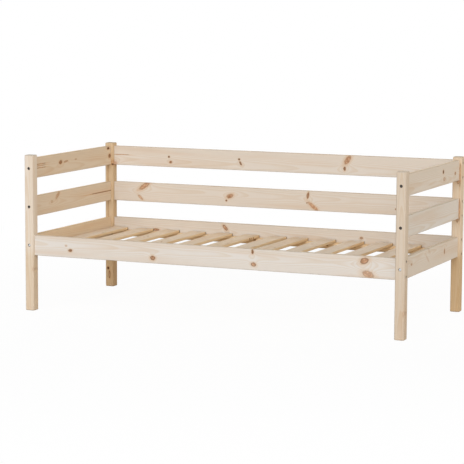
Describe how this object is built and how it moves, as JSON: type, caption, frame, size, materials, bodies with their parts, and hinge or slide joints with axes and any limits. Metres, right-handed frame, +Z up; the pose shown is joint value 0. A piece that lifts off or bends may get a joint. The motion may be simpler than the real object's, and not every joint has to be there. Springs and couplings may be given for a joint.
{
  "type": "junior bed",
  "caption": "Low junior day bed in pale knotty pine: square posts, plank guard rails on the back and both ends, an open front and a slatted mattress base.",
  "frame": {"origin": "on the floor, under the middle of the bed", "axes": "+X along the bed towards the right end as seen from the open front, +Y from the open front to the railed back, +Z up"},
  "size_m": [1.66, 0.76, 0.65],
  "materials": {
    "pine": "planed pine, clear matt finish",
    "pine_slat": "planed pine, untreated",
    "beech": "fluted beech dowel, untreated",
    "zinc_steel": "bright zinc plate"
  },
  "bodies": {
    "root": {"back_bed_rail": "pine", "back_ledger": "pine", "back_left_post": "pine", "back_middle_rail": "pine", "back_rail_barrel_nuts": "zinc_steel", "back_rail_bolts": "zinc_steel", "back_right_post": "pine", "back_top_rail": "pine", "end_rail_barrel_nuts": "zinc_steel", "end_rail_bolts": "zinc_steel", "end_rail_dowels": "beech", "front_bed_rail": "pine", "front_ledger": "pine", "front_left_post": "pine", "front_rail_barrel_nuts": "zinc_steel", "front_rail_bolts": "zinc_steel", "front_right_post": "pine", "ledger_screws": "zinc_steel", "left_bed_rail": "pine", "left_middle_rail": "pine", "left_slat_screws": "zinc_steel", "left_top_rail": "pine", "right_bed_rail": "pine", "right_middle_rail": "pine", "right_slat_screws": "zinc_steel", "right_top_rail": "pine", "slat_01": "pine_slat", "slat_02": "pine_slat", "slat_03": "pine_slat", "slat_04": "pine_slat", "slat_05": "pine_slat", "slat_06": "pine_slat", "slat_07": "pine_slat", "slat_08": "pine_slat", "slat_09": "pine_slat", "slat_10": "pine_slat", "slat_11": "pine_slat", "slat_12": "pine_slat", "slat_13": "pine_slat"}
  },
  "joints": []
}
